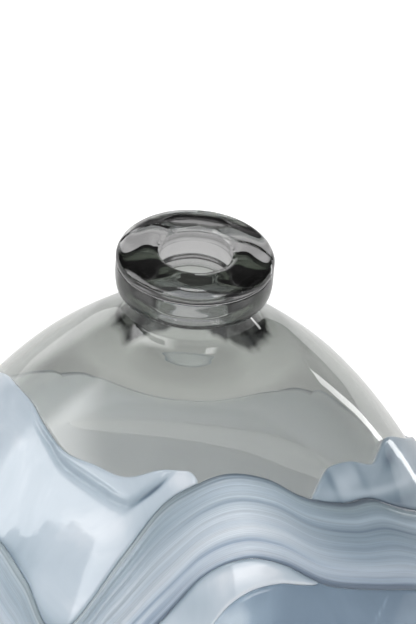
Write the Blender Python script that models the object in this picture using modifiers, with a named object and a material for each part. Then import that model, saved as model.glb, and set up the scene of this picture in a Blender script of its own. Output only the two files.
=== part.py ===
"""Bottle vase of mouth-blown glass, as the separate gathers that are joined hot.

A thick-necked smoke bubble carries a heavy two-part lip. A combed ribbon of streaky
glass runs round its shoulder in a wave. Opal lobes lie above the ribbon, opal
crescents lie below it, and a blue-grey coat covers the rest down to the heel.
Lengths are metres. Z is up, the foot stands on Z = 0, and the front faces -Y.
"""

import math

import bmesh
import bpy
from mathutils import Vector

# Driving sizes of the smoke bubble
NECK_RADIUS = 0.0232
NECK_ROOT_RADIUS = 0.0300
NECK_LENGTH = 0.0160
BELLY_RADIUS = 0.1190
SHOULDER_HEIGHT = 0.1474
BELLY_HEIGHT = 0.0830
HEEL_RADIUS = 0.0700
BODY_WALL = 0.0036
BASE_WALL = 0.0080
FOOT_RING_WIDTH = 0.0160
PUNT_RISE = 0.0040

# Driving sizes of the lip
LIP_RADIUS = 0.0300
LIP_BORE_RADIUS = 0.0142
BAND_HEIGHT = 0.0113
ROLL_HEIGHT = 0.0064
ROLL_DEPTH = 0.0044
ROLL_BREADTH = 0.0172

# Driving sizes of the glass laid over the bubble
RIBBON_THICKNESS = 0.0026
OPAL_THICKNESS = 0.0022
COAT_THICKNESS = 0.0020
EDGE_ROUND = 0.0009

# Clearances of the cold joints between touching gathers
FUSE_GAP = 0.0003
LAY_GAP = 0.00045
SEAM_GAP = 0.0006

# The neck and lip lean a little to the front, as the vase was finished by hand
LEAN = math.radians(1.8)

# Fineness of the facets
TURN_STEPS = 60
LIP_STEPS = 40
BODY_ROWS = 20
PUNT_ROWS = 3
FLOOR_ROWS = 4
ROLL_STEPS = 13
BEVEL_STEPS = 1
LINE_STEPS = 16
MERGE = 0.00001

# Outline of the neck: share of the way from neck radius to root radius, share of the neck's length
NECK_OUTLINE_SHARES = [(0.0, 0.0), (-0.03, 0.37), (0.26, 0.71), (1.0, 1.0)]

# Outline of the shoulder: share of the way from root radius to belly radius, share of its drop
SHOULDER_OUTLINE_SHARES = [
    (0.135, 0.058), (0.270, 0.1255), (0.404, 0.2035), (0.539, 0.301), (0.674, 0.418),
    (0.809, 0.557), (0.912, 0.7015), (0.978, 0.8475), (1.0, 1.0),
]

# Outline of the heel: share of the way from belly radius to heel radius, share of its drop
HEEL_OUTLINE_SHARES = [(0.051, 0.301), (0.224, 0.590), (0.510, 0.819), (0.796, 0.952), (1.0, 1.0)]

# Wall of the bubble as a share of BODY_WALL, at shares of the way down the outline
WALL_SHARES = {0.0: 1.60, 0.08: 1.70, 0.2: 1.25, 0.35: 1.0, 0.8: 1.0, 0.95: 1.7, 1.0: 2.1}

# Section of the lip band: share of the wall from bore to outside, share of the band's height
BAND_SECTION_SHARES = [
    (0.03, 1.0), (0.95, 1.0), (0.99, 0.94), (1.0, 0.80), (1.0, 0.50), (0.975, 0.20),
    (0.945, 0.06), (0.89, 0.0), (0.05, 0.0), (0.0, 0.08), (0.0, 0.95),
]

# Section of the lip roll: squareness of its rounded outline
ROLL_SQUARENESS = 2.3

# Edges of the overlaid glass: degrees round from the front, share of the way down the outline
RIBBON_TOP_SHARES = {
    -180: 0.448, -165: 0.422, -150: 0.420, -132: 0.452, -110: 0.425, -90: 0.382, -68: 0.358, -46: 0.354,
    -34: 0.382, -23: 0.425, -13: 0.318, -5: 0.250, 4: 0.220, 16: 0.205, 29: 0.219,
    39: 0.253, 51: 0.282, 61: 0.298, 70: 0.336, 82: 0.385, 100: 0.438, 118: 0.470,
    134: 0.480, 150: 0.422, 165: 0.422, 180: 0.448,
}
RIBBON_BOTTOM_SHARES = {
    -180: 0.548, -156: 0.550, -132: 0.558, -110: 0.540, -90: 0.505, -68: 0.470, -46: 0.480,
    -34: 0.520, -23: 0.545, -12: 0.470, -2: 0.389, 7: 0.331, 18: 0.311, 28: 0.326,
    38: 0.366, 50: 0.397, 62: 0.432, 74: 0.480, 88: 0.530, 104: 0.558, 122: 0.575,
    142: 0.572, 160: 0.555, 180: 0.548,
}
LEFT_LOBE_TOP_SHARES = {
    -150: 0.410, -137: 0.384, -128: 0.365, -116: 0.322, -108: 0.290, -100: 0.256, -90: 0.224,
    -78: 0.207, -66: 0.199, -53: 0.206,
    -40: 0.217, -28: 0.216, -17: 0.219, -6: 0.202, 3: 0.200, 8: 0.198,
}
RIGHT_LOBE_TOP_SHARES = {
    42: 0.245, 47: 0.238, 54: 0.235, 62: 0.246, 70: 0.270, 77: 0.270, 86: 0.276,
    98: 0.324, 110: 0.375, 122: 0.430, 134: 0.445, 143: 0.410, 152: 0.406,
}
BACK_LOBE_TOP_SHARES = {160: 0.412, 166: 0.405, 176: 0.420, 185: 0.420, 194: 0.405, 200: 0.412}
FRONT_CRESCENT_BOTTOM_SHARES = {
    -42: 0.520, -30: 0.575, -20: 0.596, -8: 0.560, 2: 0.470, 10: 0.387, 17: 0.355,
    26: 0.348, 32: 0.361, 38: 0.378,
}
BACK_CRESCENT_BOTTOM_SHARES = {
    132: 0.602, 144: 0.615, 156: 0.612, 168: 0.602, 180: 0.590, 192: 0.582, 204: 0.575,
}
TIP_SHARE = 0.009

# Lobes and crescents: first and last degree round that each covers, and its free edge
LOBES = {
    "opal_lobe_left": ((-150, 6), LEFT_LOBE_TOP_SHARES),
    "opal_lobe_right": ((42, 150), RIGHT_LOBE_TOP_SHARES),
    "opal_lobe_back": ((160, 200), BACK_LOBE_TOP_SHARES),
}
CRESCENTS = {
    "opal_crescent_front": ((-42, 36), FRONT_CRESCENT_BOTTOM_SHARES),
    "opal_crescent_back": ((132, 204), BACK_CRESCENT_BOTTOM_SHARES),
}

# Degrees round between which the ribbon climbs steeply, and its columns stand twice as close
STEEP_SPAN = (-30, 12)

# Rows of facets across each kind of patch
RIBBON_ROWS = 4
LOBE_ROWS = 4
CRESCENT_ROWS = 3
COAT_WAVY_ROWS = 6
COAT_FIRST_BODY_ROW = 13

COLLECTION_NAME = "bottle_vase"
NECK_TOP_Z = BELLY_HEIGHT + SHOULDER_HEIGHT + NECK_LENGTH
NECK_ROOT_Z = BELLY_HEIGHT + SHOULDER_HEIGHT
LIP_SEAT_Z = NECK_TOP_Z + FUSE_GAP
FULL_TURN = 360


def clear_scene():
    """Starts from an empty scene."""
    for thing in list(bpy.data.objects):
        bpy.data.objects.remove(thing)


def part_collection():
    """Makes the collection that holds every gather."""
    collection = bpy.data.collections.new(COLLECTION_NAME)
    bpy.context.scene.collection.children.link(collection)
    return collection


def glass(name, colour, roughness, clear):
    """Glass of one colour: clear is how much light passes straight through."""
    material = bpy.data.materials.new(name)
    material.use_nodes = True
    shader = material.node_tree.nodes["Principled BSDF"]
    shader.inputs["Base Color"].default_value = (*colour, 1)
    shader.inputs["Roughness"].default_value = roughness
    shader.inputs["Metallic"].default_value = 0
    shader.inputs["Transmission Weight"].default_value = clear
    material.diffuse_color = (*colour, 1)
    return material


def hermite(before, start, end, after, share):
    """Value between start and end, each a (place, value) pair, with the slopes of its neighbours."""
    run = end[0] - start[0]
    slope_in = (end[1] - before[1]) / (end[0] - before[0])
    slope_out = (after[1] - start[1]) / (after[0] - start[0])
    rest = 1 - share
    return (
        start[1] * (1 + 2 * share) * rest**2
        + slope_in * run * share * rest**2
        + end[1] * share**2 * (3 - 2 * share)
        - slope_out * run * share**2 * rest
    )


def smooth_value(table, place):
    """Reads a table of place: value smoothly. A table that spans a full turn repeats."""
    stops = sorted(table.items())
    first, last = stops[0], stops[-1]
    if last[0] - first[0] == FULL_TURN:
        while place > last[0]:
            place -= FULL_TURN
        while place < first[0]:
            place += FULL_TURN
        before_first = (stops[-2][0] - FULL_TURN, stops[-2][1])
        after_last = (stops[1][0] + FULL_TURN, stops[1][1])
    else:
        place = min(max(place, first[0]), last[0])
        before_first = (2 * first[0] - stops[1][0], 2 * first[1] - stops[1][1])
        after_last = (2 * last[0] - stops[-2][0], 2 * last[1] - stops[-2][1])
    stops = [before_first] + stops + [after_last]
    for i in range(1, len(stops) - 2):
        if place <= stops[i + 1][0]:
            share = (place - stops[i][0]) / (stops[i + 1][0] - stops[i][0])
            return hermite(stops[i - 1], stops[i], stops[i + 1], stops[i + 2], share)
    return last[1]


def body_line():
    """Corner points of the bubble's outer outline, from the top of the neck down to the foot."""
    line = []
    for across, down in NECK_OUTLINE_SHARES:
        radius = NECK_RADIUS + across * (NECK_ROOT_RADIUS - NECK_RADIUS)
        line.append((radius, NECK_TOP_Z - down * NECK_LENGTH))
    for across, down in SHOULDER_OUTLINE_SHARES:
        radius = NECK_ROOT_RADIUS + across * (BELLY_RADIUS - NECK_ROOT_RADIUS)
        line.append((radius, NECK_ROOT_Z - down * SHOULDER_HEIGHT))
    for across, down in HEEL_OUTLINE_SHARES:
        radius = BELLY_RADIUS + across * (HEEL_RADIUS - BELLY_RADIUS)
        line.append((radius, BELLY_HEIGHT - down * BELLY_HEIGHT))
    return line


def dense_line(line):
    """Rounds a line of corner points into many short steps, each with its length so far."""
    reach = [0.0]
    for start, end in zip(line, line[1:]):
        reach.append(reach[-1] + math.dist(start, end))
    radii = dict(zip(reach, (point[0] for point in line)))
    heights = dict(zip(reach, (point[1] for point in line)))
    fine = []
    for start, end in zip(reach, reach[1:]):
        for step in range(LINE_STEPS):
            fine.append(start + (end - start) * step / LINE_STEPS)
    fine.append(reach[-1])
    points = [(smooth_value(radii, place), smooth_value(heights, place)) for place in fine]
    lengths = [0.0]
    for start, end in zip(points, points[1:]):
        lengths.append(lengths[-1] + math.dist(start, end))
    return points, lengths


BODY_POINTS, BODY_LENGTHS = dense_line(body_line())


def body_at(share):
    """Radius, height and outward direction of the bubble at a share of the way down its outline."""
    place = min(max(share, 0.0), 1.0) * BODY_LENGTHS[-1]
    i = 0
    while i < len(BODY_LENGTHS) - 2 and BODY_LENGTHS[i + 1] < place:
        i += 1
    start, end = BODY_POINTS[i], BODY_POINTS[i + 1]
    step = BODY_LENGTHS[i + 1] - BODY_LENGTHS[i]
    part = (place - BODY_LENGTHS[i]) / step
    radius = start[0] + part * (end[0] - start[0])
    height = start[1] + part * (end[1] - start[1])
    before, after = BODY_POINTS[max(i - 1, 0)], BODY_POINTS[min(i + 2, len(BODY_POINTS) - 1)]
    fall = Vector((after[0] - before[0], after[1] - before[1])).normalized()
    return radius, height, -fall.y, fall.x


def lay_point(turn, share, rise):
    """Point that lies rise above the bubble's skin, turn degrees round from the front."""
    radius, height, out, up = body_at(share)
    angle = math.radians(turn)
    reach = radius + rise * out
    return Vector((reach * math.sin(angle), -reach * math.cos(angle), height + rise * up))


def leaned(point):
    """Leans a point of the neck: nothing at the belly side of the shoulder, all of it at the lip."""
    start = NECK_ROOT_Z - NECK_LENGTH
    share = min(max((point.z - start) / (NECK_TOP_Z - start), 0), 1)
    angle = LEAN * share * share * (3 - 2 * share)
    rise = point.z - NECK_ROOT_Z
    y = point.y * math.cos(angle) - rise * math.sin(angle)
    z = point.y * math.sin(angle) + rise * math.cos(angle)
    return Vector((point.x, y, z + NECK_ROOT_Z))


def new_object(name, mesh, material, collection):
    """Puts a mesh into the part as one named piece."""
    piece = bpy.data.objects.new(name, mesh)
    piece.data.materials.append(material)
    collection.objects.link(piece)
    return piece


def turned(name, profile, steps, closed, material, collection):
    """Turns a profile of (radius, height) points about Z. It runs down its outer side."""
    mesh = bpy.data.meshes.new(name)
    edges = [(i, i + 1) for i in range(len(profile) - 1)]
    if closed:
        edges.append((len(profile) - 1, 0))
    mesh.from_pydata([(radius, 0, height) for radius, height in profile], edges, [])
    piece = new_object(name, mesh, material, collection)
    screw = piece.modifiers.new("turn", "SCREW")
    screw.angle = math.tau
    screw.steps = steps
    screw.render_steps = steps
    screw.use_merge_vertices = True
    screw.merge_threshold = MERGE
    screw.use_smooth_shade = True
    return piece


def bake_turn(piece, collection):
    """Replaces a turned piece by its finished mesh, so that its points can be leaned."""
    view = bpy.context.evaluated_depsgraph_get()
    mesh = bpy.data.meshes.new_from_object(piece.evaluated_get(view))
    name = piece.name
    bpy.data.objects.remove(piece)
    mesh.name = name
    for vertex in mesh.vertices:
        vertex.co = leaned(vertex.co)
    baked = bpy.data.objects.new(name, mesh)
    collection.objects.link(baked)
    return baked


def smoke_bubble(material, collection):
    """The blown vessel: one wall of changing thickness from the neck to the punted foot.

    The wall is square to the outline, and level with the neck's top and the foot at its ends.
    """
    outside = []
    inside = []
    for row in range(BODY_ROWS + 1):
        share = row / BODY_ROWS
        radius, height, out, up = body_at(share)
        if row == 0:
            out, up = 1, 0
        if row == BODY_ROWS:
            out, up = 0, -1
        wall = BODY_WALL * smooth_value(WALL_SHARES, share)
        outside.append((radius, height))
        if row % 2 == 0:
            inside.append((radius - wall * out, height - wall * up))
    foot_inner = HEEL_RADIUS - FOOT_RING_WIDTH
    punt = []
    floor = []
    for step in range(PUNT_ROWS + 1):
        part = step / PUNT_ROWS
        punt.append((foot_inner * (1 - part), PUNT_RISE * math.sin(part * math.pi / 2)))
    floor_radius, floor_height = inside[-1]
    centre_height = PUNT_RISE + BASE_WALL
    for step in range(FLOOR_ROWS):
        part = step / FLOOR_ROWS
        lift = 1 - math.cos(part * math.pi / 2)
        floor.append((floor_radius * part, centre_height + (floor_height - centre_height) * lift))
    profile = floor + inside[::-1] + outside + punt
    piece = turned("smoke_bubble", profile, TURN_STEPS, False, material, collection)
    return bake_turn(piece, collection)


def lip_seat(collection):
    """Empty on the neck's root that carries the lip at the neck's lean."""
    seat = bpy.data.objects.new("lip_seat", None)
    seat.location = (0, 0, NECK_ROOT_Z)
    seat.rotation_euler = (LEAN, 0, 0)
    collection.objects.link(seat)
    return seat


def lip_band(seat, material, collection):
    """The lower half of the lip: a thick drum with its lower edge drawn in."""
    wall = LIP_RADIUS - LIP_BORE_RADIUS
    profile = []
    for across, up in BAND_SECTION_SHARES:
        profile.append((LIP_BORE_RADIUS + across * wall, up * BAND_HEIGHT))
    band = turned("lip_band", profile, LIP_STEPS, True, material, collection)
    band.parent = seat
    band.location = (0, 0, LIP_SEAT_Z - NECK_ROOT_Z)
    return band


def lip_roll(seat, material, collection):
    """The upper half of the lip: a fat roll on a flat underside. The bore cuts its round top in a crease."""
    half_width = ROLL_BREADTH / 2
    middle = LIP_RADIUS - half_width
    half_height = (ROLL_HEIGHT + ROLL_DEPTH) / 2
    middle_height = ROLL_HEIGHT - half_height
    seat_cut = math.asin((middle_height / half_height) ** (ROLL_SQUARENESS / 2))
    crease = math.acos(((middle - LIP_BORE_RADIUS) / half_width) ** (ROLL_SQUARENESS / 2))
    profile = [(LIP_BORE_RADIUS, 0)]
    for step in range(ROLL_STEPS + 1):
        angle = math.pi - crease - (math.pi - crease + seat_cut) * step / ROLL_STEPS
        across = math.copysign(abs(math.cos(angle)) ** (2 / ROLL_SQUARENESS), math.cos(angle))
        up = math.copysign(abs(math.sin(angle)) ** (2 / ROLL_SQUARENESS), math.sin(angle))
        profile.append((middle + half_width * across, middle_height + half_height * up))
    roll = turned("lip_roll", profile, LIP_STEPS, True, material, collection)
    roll.parent = seat
    roll.location = (0, 0, LIP_SEAT_Z + BAND_HEIGHT + FUSE_GAP - NECK_ROOT_Z)
    return roll


def even_rows(edges, rows):
    """Rows of a sheet, spaced evenly between its two edges."""

    def shares(turn):
        top, bottom = edges(turn)
        return [top + (bottom - top) * row / rows for row in range(rows + 1)]

    return shares


def patch(name, turns, rows, thickness, material, collection):
    """A sheet of glass on the bubble's skin.

    rows gives the shares of its rows at a turn. A sheet that goes all round is joined at its ends.
    """
    all_round = turns[-1] - turns[0] == FULL_TURN
    last_column = len(turns) - 1
    last_row = len(rows(turns[0])) - 1
    sheet = bmesh.new()
    bmesh.ops.create_grid(sheet, x_segments=last_column, y_segments=last_row, size=1)
    for vertex in sheet.verts:
        turn = turns[round((vertex.co.x + 1) / 2 * last_column)]
        row = round((1 - vertex.co.y) / 2 * last_row)
        vertex.co = lay_point(turn, rows(turn)[row], LAY_GAP)
    if all_round:
        bmesh.ops.remove_doubles(sheet, verts=sheet.verts, dist=MERGE)
    bmesh.ops.recalc_face_normals(sheet, faces=sheet.faces)
    mesh = bpy.data.meshes.new(name)
    sheet.to_mesh(mesh)
    sheet.free()
    piece = new_object(name, mesh, material, collection)
    shell = piece.modifiers.new("thickness", "SOLIDIFY")
    shell.thickness = thickness
    shell.offset = 1
    shell.use_even_offset = True
    rounding = piece.modifiers.new("soft_edges", "BEVEL")
    rounding.width = min(EDGE_ROUND, thickness / 2)
    rounding.segments = BEVEL_STEPS
    rounding.limit_method = "ANGLE"
    rounding.angle_limit = math.radians(50)
    mesh.shade_smooth()
    mesh.set_sharp_from_angle(angle=math.radians(40))
    return piece


def columns(span):
    """Degrees of each column of facets from one end of a span to the other, closer on the steep flank."""
    pitch = FULL_TURN / TURN_STEPS
    turns = []
    turn = span[0]
    while turn < span[1]:
        turns.append(turn)
        if STEEP_SPAN[0] <= turn < STEEP_SPAN[1]:
            turns.append(turn + pitch / 2)
        turn += pitch
    return turns + [span[1]]


def seam_share():
    """The seam between neighbouring sheets as a share of the outline's length."""
    return SEAM_GAP / BODY_LENGTHS[-1]


def ribbon_edges(turn):
    """Upper and lower edge of the combed ribbon."""
    return smooth_value(RIBBON_TOP_SHARES, turn), smooth_value(RIBBON_BOTTOM_SHARES, turn)


def lobe_edges(table):
    """Edges of a lobe: its own crest above, and the ribbon's upper edge below."""

    def edges(turn):
        bottom = ribbon_edges(turn)[0] - seam_share()
        return min(smooth_value(table, turn), bottom - TIP_SHARE), bottom

    return edges


def crescent_edges(table):
    """Edges of a crescent: the ribbon's lower edge above, and its own sweep below."""

    def edges(turn):
        top = ribbon_edges(turn)[1] + seam_share()
        return top, max(smooth_value(table, turn), top + TIP_SHARE)

    return edges


def coat_rows(turn):
    """Rows of the coat: its top meets the ribbon or a crescent, and its skirt keeps the bubble's rows."""
    top = ribbon_edges(turn)[1]
    for span, table in CRESCENTS.values():
        for lap in (-FULL_TURN, 0, FULL_TURN):
            if span[0] <= turn + lap <= span[1]:
                top = crescent_edges(table)(turn + lap)[1]
    top += seam_share()
    skirt = COAT_FIRST_BODY_ROW / BODY_ROWS
    wavy = [top + (skirt - top) * row / COAT_WAVY_ROWS for row in range(COAT_WAVY_ROWS)]
    return wavy + [row / BODY_ROWS for row in range(COAT_FIRST_BODY_ROW, BODY_ROWS)]


def build():
    """Builds every gather in the order in which the vase is made."""
    clear_scene()
    collection = part_collection()
    smoke = glass("smoke_glass", (0.42, 0.45, 0.43), 0.02, 0.9)
    dark_smoke = glass("dark_smoke_glass", (0.10, 0.10, 0.10), 0.02, 0.8)
    opal = glass("opal_glass", (0.76, 0.81, 0.85), 0.06, 0.1)
    streaked = glass("streaked_glass", (0.42, 0.50, 0.58), 0.06, 0.1)
    blue = glass("blue_grey_glass", (0.26, 0.33, 0.41), 0.06, 0.1)

    smoke_bubble(smoke, collection)
    seat = lip_seat(collection)
    lip_band(seat, dark_smoke, collection)
    lip_roll(seat, dark_smoke, collection)

    whole = columns((-FULL_TURN // 2, FULL_TURN // 2))
    ribbon = even_rows(ribbon_edges, RIBBON_ROWS)
    patch("combed_ribbon", whole, ribbon, RIBBON_THICKNESS, streaked, collection)
    for name, (span, table) in LOBES.items():
        rows = even_rows(lobe_edges(table), LOBE_ROWS)
        patch(name, columns(span), rows, OPAL_THICKNESS, opal, collection)
    for name, (span, table) in CRESCENTS.items():
        rows = even_rows(crescent_edges(table), CRESCENT_ROWS)
        patch(name, columns(span), rows, OPAL_THICKNESS, opal, collection)
    patch("blue_coat", whole, coat_rows, COAT_THICKNESS, blue, collection)


build()
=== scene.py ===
import math
from bisect import bisect_right
from functools import lru_cache

import bpy
from mathutils import Matrix, Vector, noise


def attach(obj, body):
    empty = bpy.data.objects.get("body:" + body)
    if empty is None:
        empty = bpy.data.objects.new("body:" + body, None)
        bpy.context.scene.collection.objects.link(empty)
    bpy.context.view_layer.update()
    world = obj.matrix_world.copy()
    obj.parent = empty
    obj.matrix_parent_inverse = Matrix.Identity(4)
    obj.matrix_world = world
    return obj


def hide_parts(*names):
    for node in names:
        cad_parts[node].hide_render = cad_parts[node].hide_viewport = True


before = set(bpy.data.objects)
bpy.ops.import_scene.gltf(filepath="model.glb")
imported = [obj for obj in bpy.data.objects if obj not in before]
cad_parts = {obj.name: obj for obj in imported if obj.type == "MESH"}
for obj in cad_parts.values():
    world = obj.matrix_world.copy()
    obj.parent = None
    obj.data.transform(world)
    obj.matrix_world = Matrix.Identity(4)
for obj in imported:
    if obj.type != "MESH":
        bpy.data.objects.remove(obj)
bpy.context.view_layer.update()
bpy.ops.object.select_all(action="DESELECT")


# Smoke bubble: the vessel itself, blown from one gather of clear smoke-grey glass.
# Its wall is thick at the neck and the foot, and thin at the belly, where the breath stretched it.
# The neck was finished by hand at the bench, so it leans a little to the front.
NECK_RADIUS = 0.0232
NECK_ROOT_RADIUS = 0.0300
NECK_LENGTH = 0.0160
BELLY_RADIUS = 0.1190
SHOULDER_HEIGHT = 0.1474
BELLY_HEIGHT = 0.0830
HEEL_RADIUS = 0.0700
BODY_WALL = 0.0036
BASE_WALL = 0.0080
FOOT_RING_WIDTH = 0.0160
PUNT_RISE = 0.0040
LEAN = math.radians(1.8)
NECK_ROOT_Z = BELLY_HEIGHT + SHOULDER_HEIGHT
NECK_TOP_Z = NECK_ROOT_Z + NECK_LENGTH
SHARP_ANGLE = math.radians(35)
WELD = 0.000005
FULL_TURN = 360

# Its outline as shares: of the way from one radius to the next, and of the drop between them
NECK_OUTLINE_SHARES = [(0.0, 0.0), (-0.03, 0.37), (0.26, 0.71), (1.0, 1.0)]
SHOULDER_OUTLINE_SHARES = [
    (0.135, 0.058), (0.270, 0.1255), (0.404, 0.2035), (0.539, 0.301), (0.674, 0.418),
    (0.809, 0.557), (0.912, 0.7015), (0.978, 0.8475), (1.0, 1.0),
]
HEEL_OUTLINE_SHARES = [(0.051, 0.301), (0.224, 0.590), (0.510, 0.819), (0.796, 0.952), (1.0, 1.0)]
WALL_SHARES = {
    0.0: 2.45, 0.045: 2.5, 0.075: 2.2, 0.12: 1.5, 0.2: 1.2, 0.35: 1.0, 0.8: 1.0, 0.95: 1.7, 1.0: 2.1,
}


def smooth_read(table, place):
    """Reads a table of place: value along a smooth curve. A table that spans a full turn repeats."""
    stops = sorted(table.items())
    (first, first_value), (last, last_value) = stops[0], stops[-1]
    if last - first == FULL_TURN:
        place = (place - first) % FULL_TURN + first
        before = (stops[-2][0] - FULL_TURN, stops[-2][1])
        after = (stops[1][0] + FULL_TURN, stops[1][1])
    else:
        place = min(max(place, first), last)
        before = (2 * first - stops[1][0], 2 * first_value - stops[1][1])
        after = (2 * last - stops[-2][0], 2 * last_value - stops[-2][1])
    stops = [before] + stops + [after]
    i = min(max(bisect_right([stop[0] for stop in stops], place) - 1, 1), len(stops) - 3)
    (x0, y0), (x1, y1), (x2, y2), (x3, y3) = stops[i - 1:i + 3]
    share, rest = (place - x1) / (x2 - x1), (x2 - place) / (x2 - x1)
    slope_in = (y2 - y0) / (x2 - x0) * (x2 - x1)
    slope_out = (y3 - y1) / (x3 - x1) * (x2 - x1)
    value = y1 * (1 + 2 * share) * rest**2 + slope_in * share * rest**2
    return value + y2 * share**2 * (3 - 2 * share) - slope_out * share**2 * rest


def blown_outline(steps):
    """Fine points of the bubble's outer outline from the neck's top to the foot, and their lengths."""
    corners = []
    for shares, r0, r1, z0, drop in (
        (NECK_OUTLINE_SHARES, NECK_RADIUS, NECK_ROOT_RADIUS, NECK_TOP_Z, NECK_LENGTH),
        (SHOULDER_OUTLINE_SHARES, NECK_ROOT_RADIUS, BELLY_RADIUS, NECK_ROOT_Z, SHOULDER_HEIGHT),
        (HEEL_OUTLINE_SHARES, BELLY_RADIUS, HEEL_RADIUS, BELLY_HEIGHT, BELLY_HEIGHT),
    ):
        corners += [(r0 + across * (r1 - r0), z0 - down * drop) for across, down in shares]
    reach = [0.0]
    for start, end in zip(corners, corners[1:]):
        reach.append(reach[-1] + math.dist(start, end))
    radii = dict(zip(reach, (corner[0] for corner in corners)))
    heights = dict(zip(reach, (corner[1] for corner in corners)))
    places = [s + (e - s) * step / steps for s, e in zip(reach, reach[1:]) for step in range(steps)]
    points = [(smooth_read(radii, p), smooth_read(heights, p)) for p in places + [reach[-1]]]
    lengths = [0.0]
    for start, end in zip(points, points[1:]):
        lengths.append(lengths[-1] + math.dist(start, end))
    return points, lengths


OUTLINE_STEPS = 24
OUTLINE, OUTLINE_LENGTHS = blown_outline(OUTLINE_STEPS)
OUTLINE_LENGTH = OUTLINE_LENGTHS[-1]


def skin_at(share):
    """Radius, height and outward direction of the bubble's skin at a share of the way down it."""
    place = min(max(share, 0.0), 1.0) * OUTLINE_LENGTH
    i = min(bisect_right(OUTLINE_LENGTHS, place), len(OUTLINE) - 1) - 1
    part = (place - OUTLINE_LENGTHS[i]) / (OUTLINE_LENGTHS[i + 1] - OUTLINE_LENGTHS[i])
    (r0, z0), (r1, z1) = OUTLINE[i], OUTLINE[i + 1]
    (ra, za), (rb, zb) = OUTLINE[max(i - 1, 0)], OUTLINE[min(i + 2, len(OUTLINE) - 1)]
    fall = math.hypot(rb - ra, zb - za)
    return r0 + part * (r1 - r0), z0 + part * (z1 - z0), (za - zb) / fall, (rb - ra) / fall


def leaned(point):
    """Leans a point with the neck: nothing below the shoulder's top, all of it at the lip."""
    start = NECK_ROOT_Z - NECK_LENGTH
    share = min(max((point.z - start) / (NECK_TOP_Z - start), 0), 1)
    angle = LEAN * share * share * (3 - 2 * share)
    rise = point.z - NECK_ROOT_Z
    y = point.y * math.cos(angle) - rise * math.sin(angle)
    return Vector((point.x, y, point.y * math.sin(angle) + rise * math.cos(angle) + NECK_ROOT_Z))


def spin_glass(name, section, steps):
    """Turns a section of (radius, height) points about the vase's axis, as glass turns on the pipe."""
    bpy.ops.mesh.primitive_plane_add(size=BODY_WALL, location=(0, 0, 0))
    piece = bpy.context.object
    piece.name = piece.data.name = name
    bpy.ops.object.mode_set(mode="EDIT")
    bpy.ops.mesh.merge(type="CENTER")
    bpy.ops.transform.translate(value=(section[0][0], 0, section[0][1]))
    for (r0, z0), (r1, z1) in zip(section, section[1:]):
        bpy.ops.mesh.extrude_vertices_move(TRANSFORM_OT_translate={"value": (r1 - r0, 0, z1 - z0)})
    bpy.ops.mesh.select_all(action="SELECT")
    bpy.ops.mesh.spin(steps=steps, angle=math.tau, center=(0, 0, 0), axis=(0, 0, 1))
    bpy.ops.mesh.select_all(action="SELECT")
    bpy.ops.mesh.remove_doubles(threshold=WELD)
    bpy.ops.mesh.normals_make_consistent(inside=False)
    bpy.ops.object.mode_set(mode="OBJECT")
    bpy.ops.object.shade_smooth_by_angle(angle=SHARP_ANGLE)
    return piece


def add_node(tree, kind, sockets, **settings):
    """Adds a shader node. A socket takes a value or another node's output."""
    made = tree.nodes.new("ShaderNode" + kind)
    for name, value in settings.items():
        setattr(made, name, value)
    for name, value in sockets.items():
        if isinstance(value, bpy.types.NodeSocket):
            tree.links.new(value, made.inputs[name])
        else:
            made.inputs[name].default_value = value
    return made


def reckon(tree, operation, first, second):
    """One sum in a shader's nodes."""
    return add_node(tree, "Math", {0: first, 1: second}, operation=operation).outputs[0]


def spread(tree, value, low, high, to_low, to_high, easing="LINEAR"):
    """Turns a number between low and high into one between to_low and to_high."""
    return add_node(tree, "MapRange", {
        "Value": value, "From Min": low, "From Max": high, "To Min": to_low, "To Max": to_high,
    }, interpolation_type=easing).outputs[0]


def blend(tree, share, first, second):
    """Mixes two colours: the first where share is 0, the second where it is 1."""
    return add_node(tree, "Mix", {"Factor": share, 6: first, 7: second}, data_type="RGBA").outputs[2]


CLEAR_SHADOW = (0.85, 0.87, 0.86, 1)


def clear_glass(name, density, tint, ripple, painted_shade=None):
    """Clear glass that loses light along the way through it. Lamps shine through it, weakened.

    The function given last gives the colour of painted shade in the skin of the glass, where it has any.
    """
    material = bpy.data.materials.new(name)
    material.use_nodes = True
    tree = material.node_tree
    tree.nodes.clear()
    place = add_node(tree, "TexCoord", {}).outputs["Object"]
    cords = add_node(tree, "TexNoise", {"Vector": place, "Scale": 34, "Detail": 2, "Roughness": 0.4})
    bump = add_node(tree, "Bump", {"Height": cords.outputs["Fac"], "Strength": 1, "Distance": ripple})
    glass = add_node(tree, "BsdfPrincipled", {
        "Base Color": (1, 1, 1, 1), "Roughness": 0.0, "IOR": 1.5, "Transmission Weight": 1,
        "Normal": bump.outputs["Normal"],
    })
    if painted_shade:
        tree.links.new(painted_shade(tree), glass.inputs["Base Color"])
    passing = add_node(tree, "BsdfTransparent", {"Color": CLEAR_SHADOW})
    ray = add_node(tree, "LightPath", {}).outputs["Is Shadow Ray"]
    surface = add_node(tree, "MixShader", {0: ray, 1: glass.outputs[0], 2: passing.outputs[0]})
    depth = add_node(tree, "VolumeAbsorption", {"Color": (*tint, 1), "Density": density})
    output = add_node(tree, "OutputMaterial", {"Surface": surface.outputs[0]})
    tree.links.new(depth.outputs[0], output.inputs["Volume"])
    return material


# Painted shade on the neck: dark patches painted into the skin of the glass where the thick neck looks
# dark. Their foot lies a little below the neck's root at the sides, and rises towards the front, and
# further still towards the back. It is ragged and soft, and only the skin is painted.
NECK_SHADE_COLOUR = (0.014, 0.014, 0.016, 1)
NECK_SHADE_SIDE_DROP = 0.0010
NECK_SHADE_SLOPE_DROP = 0.0080
NECK_SHADE_SLOPE = 0.0190
NECK_SHADE_RAGGEDNESS = 0.006
NECK_SHADE_SOFTNESS = 0.0030
NECK_SHADE_SKIN = 0.0015
NECK_SHADE_LEAST = 0.86


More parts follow.
